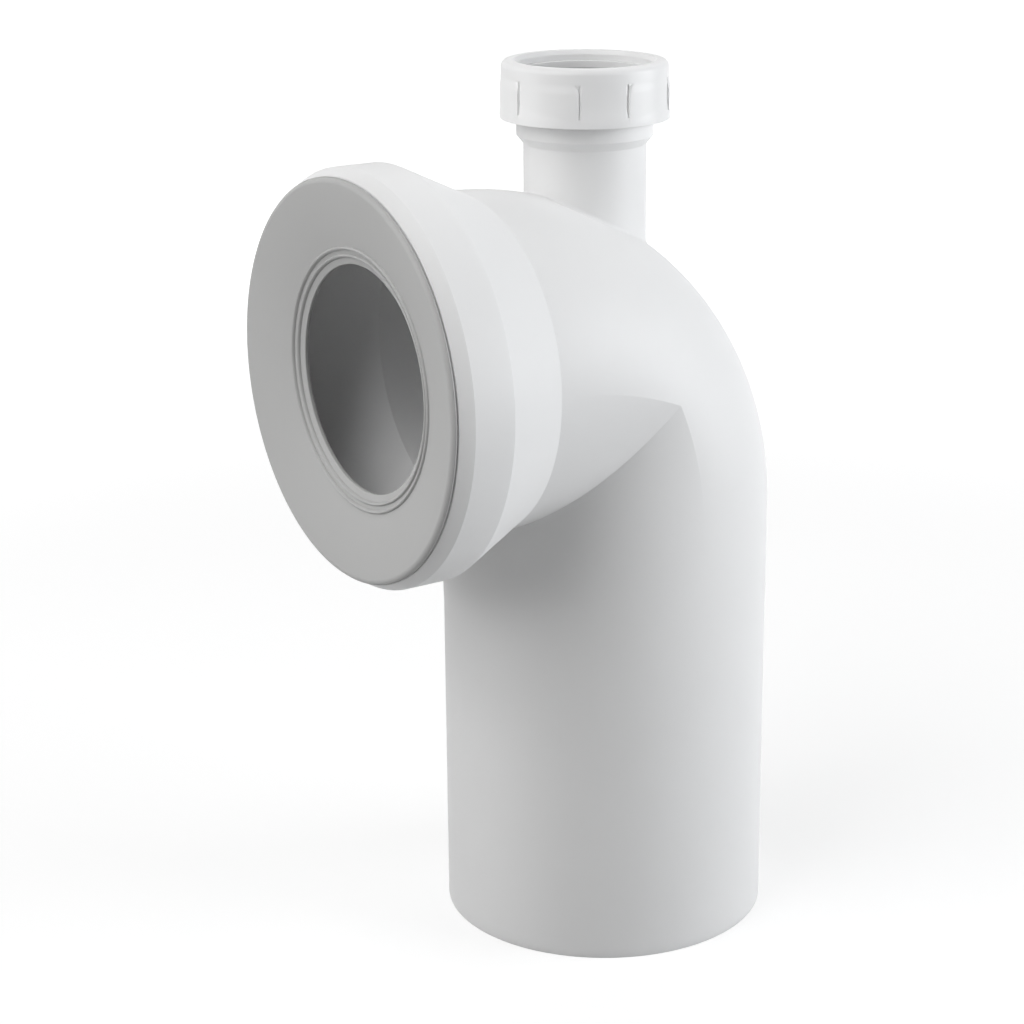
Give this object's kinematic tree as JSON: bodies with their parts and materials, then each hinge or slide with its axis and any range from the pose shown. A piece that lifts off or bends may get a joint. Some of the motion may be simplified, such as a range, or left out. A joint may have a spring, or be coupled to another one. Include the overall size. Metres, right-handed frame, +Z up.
{
  "type": "toilet pan connector",
  "caption": "Right-angled toilet pan connector: a belled inlet with a rubber seal, a plain drain spigot, and a threaded waste branch on top with a compression nut.",
  "frame": {"origin": "centre of the drain spigot's open end", "axes": "+Z up the drain spigot's axis, -Y out of the bell's mouth, X across"},
  "size_m": [0.1334, 0.1559, 0.2934],
  "materials": {
    "white_plastic": "satin white polypropylene",
    "grey_rubber": "smooth grey rubber",
    "nut_plastic": "satin white polypropylene",
    "washer_plastic": "smooth pale polyethylene",
    "dark_rubber": "smooth dark rubber"
  },
  "bodies": {
    "connector": {"connector_body": "white_plastic", "pan_seal": "grey_rubber", "branch_seal": "dark_rubber"},
    "washer": {"slip_washer": "washer_plastic"},
    "nut": {"branch_nut": "nut_plastic"}
  },
  "joints": [
    {"name": "nut_climb", "type": "slide", "parent": "connector", "child": "washer", "axis": [0, 0, 1], "range_m": [0, 0.0105]},
    {"name": "nut_turn", "type": "hinge", "parent": "washer", "child": "nut", "pos_m": [0, -0.0081, 0.28], "axis": [0, 0, 1], "range_deg": [0, 1620]}
  ],
  "couplings": [
    {"joint": "nut_climb", "follows": "nut_turn", "m_per_rad": 0.00036749}
  ]
}
